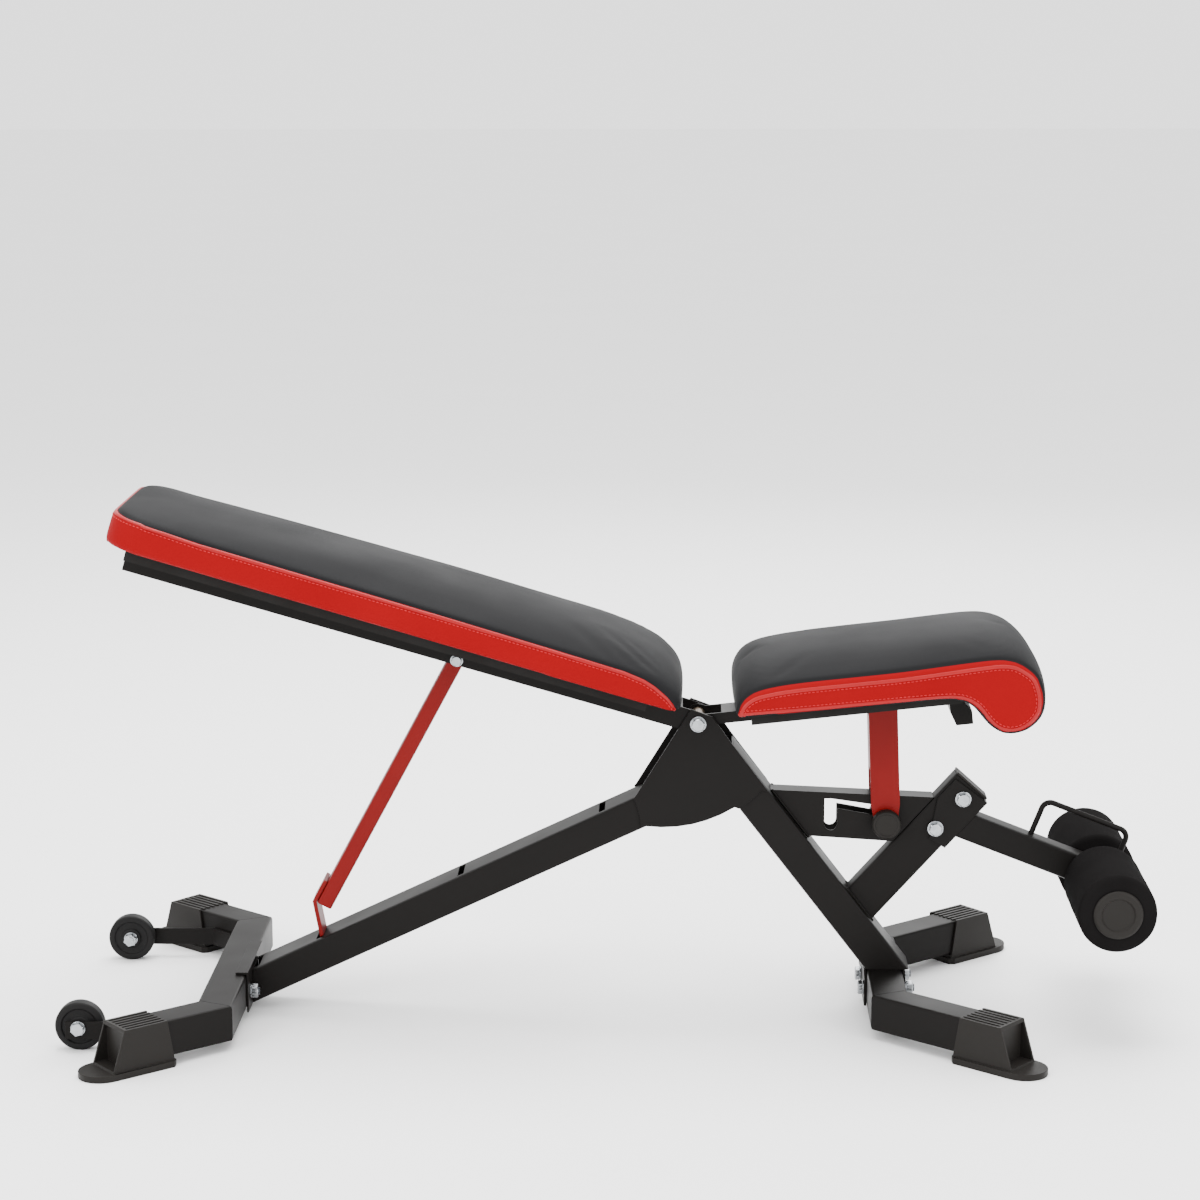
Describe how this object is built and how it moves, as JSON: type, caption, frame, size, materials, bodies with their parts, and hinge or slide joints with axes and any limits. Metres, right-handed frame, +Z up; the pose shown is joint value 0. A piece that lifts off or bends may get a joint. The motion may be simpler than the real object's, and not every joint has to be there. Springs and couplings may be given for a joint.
{
  "type": "decline sit up bench",
  "caption": "Adjustable decline sit-up bench: hinged back pad on a drop-in strut, hinged seat, hold-down foam rollers, splayed feet and transport wheels.",
  "frame": {"origin": "centre of the bounding box's footprint, on the floor", "axes": "+X towards the foam rollers, +Y to the left side, +Z up"},
  "size_m": [1.336, 0.6136, 0.6571],
  "materials": {
    "black_paint": "semi-gloss black powder coat",
    "red_paint": "satin red powder coat",
    "pad_vinyl": "fine-grained black and red upholstery vinyl",
    "foam": "matt closed-cell foam",
    "wheel": "satin black wheel",
    "black_plastic": "moulded black plastic",
    "zinc": "bright zinc plate",
    "plywood": "bare plywood",
    "bronze": "plain bearing bronze"
  },
  "bodies": {
    "frame": {"rear_leg_tube": "black_paint", "front_leg_tube": "black_paint", "brace_tube": "black_paint", "gusset_plate_left": "black_paint", "gusset_plate_right": "black_paint", "seat_slot_bracket": "black_paint", "rear_crossbar": "black_paint", "rear_arm_left": "black_paint", "rear_arm_right": "black_paint", "rear_mount_bracket": "black_paint", "rear_stabiliser_bolt_left": "zinc", "rear_stabiliser_bolt_right": "zinc", "front_crossbar": "black_paint", "front_arm_left": "black_paint", "front_arm_right": "black_paint", "front_saddle_plate_inner": "black_paint", "front_saddle_plate_outer": "black_paint", "front_stabiliser_bolt_left": "zinc", "front_stabiliser_bolt_right": "zinc", "rear_foot_cap_left": "black_plastic", "rear_foot_cap_right": "black_plastic", "front_foot_cap_left": "black_plastic", "front_foot_cap_right": "black_plastic", "wheel_plate_left": "black_paint", "wheel_plate_right": "black_paint", "wheel_bolt_left": "zinc", "wheel_bolt_right": "zinc", "main_pivot_bolt": "zinc", "brace_end_cap": "black_plastic", "hold_down_bracket": "black_paint", "hold_down_arm": "black_paint", "hold_down_bolt_1": "zinc", "hold_down_bolt_2": "zinc", "handle_loop": "black_paint", "roller_axle": "zinc"},
    "hinge_sleeve": {"pivot_sleeve": "bronze"},
    "backrest": {"back_frame": "black_paint", "back_board": "plywood", "back_cushion": "pad_vinyl", "back_pad_screw_1": "zinc", "back_pad_screw_2": "zinc", "strut_pivot_bolt": "zinc"},
    "bush": {"strut_bush": "bronze"},
    "strut": {"strut_tube": "red_paint", "strut_tongue": "red_paint"},
    "seat": {"seat_frame": "black_paint", "seat_board": "plywood", "seat_cushion": "pad_vinyl", "seat_stop_bracket": "black_paint", "link_pivot_bolt": "zinc"},
    "link": {"seat_link": "red_paint", "adjuster_knob_left": "black_plastic", "adjuster_knob_right": "black_plastic"},
    "roller_left": {"foam_roller_left": "foam", "roller_end_cap_left": "black_plastic"},
    "roller_right": {"foam_roller_right": "foam", "roller_end_cap_right": "black_plastic"},
    "wheel_left_body": {"wheel_left": "wheel"},
    "wheel_right_body": {"wheel_right": "wheel"}
  },
  "joints": [
    {"name": "backrest_raise", "type": "hinge", "parent": "frame", "child": "hinge_sleeve", "pos_m": [0.114, 0, 0.374], "axis": [0, 1, 0], "range_deg": [0, 55]},
    {"name": "backrest_lower", "type": "hinge", "parent": "hinge_sleeve", "child": "backrest", "pos_m": [0.114, 0, 0.374], "axis": [0, 1, 0], "range_deg": [-41, 0]},
    {"name": "strut_bush_turn", "type": "hinge", "parent": "backrest", "child": "bush", "pos_m": [-0.18504, 0, 0.45301], "axis": [0, 1, 0], "range_deg": [-80, 0]},
    {"name": "strut_fold", "type": "hinge", "parent": "bush", "child": "strut", "pos_m": [-0.18504, 0, 0.45301], "axis": [0, 1, 0], "range_deg": [0, 80]},
    {"name": "seat_lower", "type": "hinge", "parent": "frame", "child": "seat", "pos_m": [0.114, 0, 0.374], "axis": [0, 1, 0], "range_deg": [0, 4.8]},
    {"name": "link_swing", "type": "hinge", "parent": "seat", "child": "link", "pos_m": [0.34305, 0, 0.39798], "axis": [0, 1, 0], "range_deg": [0, 22.5]},
    {"name": "roller_spin_left", "type": "hinge", "parent": "frame", "child": "roller_left", "pos_m": [0.62, 0, 0.171], "axis": [0, 1, 0], "continuous": true},
    {"name": "roller_spin_right", "type": "hinge", "parent": "frame", "child": "roller_right", "pos_m": [0.62, 0, 0.171], "axis": [0, 1, 0], "continuous": true},
    {"name": "wheel_spin_left", "type": "hinge", "parent": "frame", "child": "wheel_left_body", "pos_m": [-0.638, 0.18, 0.03], "axis": [0, 1, 0], "continuous": true},
    {"name": "wheel_spin_right", "type": "hinge", "parent": "frame", "child": "wheel_right_body", "pos_m": [-0.638, -0.18, 0.03], "axis": [0, 1, 0], "continuous": true}
  ],
  "couplings": [
    {"joint": "strut_bush_turn", "follows": "backrest_raise", "ratio": -1.445},
    {"joint": "strut_fold", "follows": "backrest_lower", "ratio": -1.925},
    {"joint": "link_swing", "follows": "seat_lower", "ratio": 4.67}
  ]
}
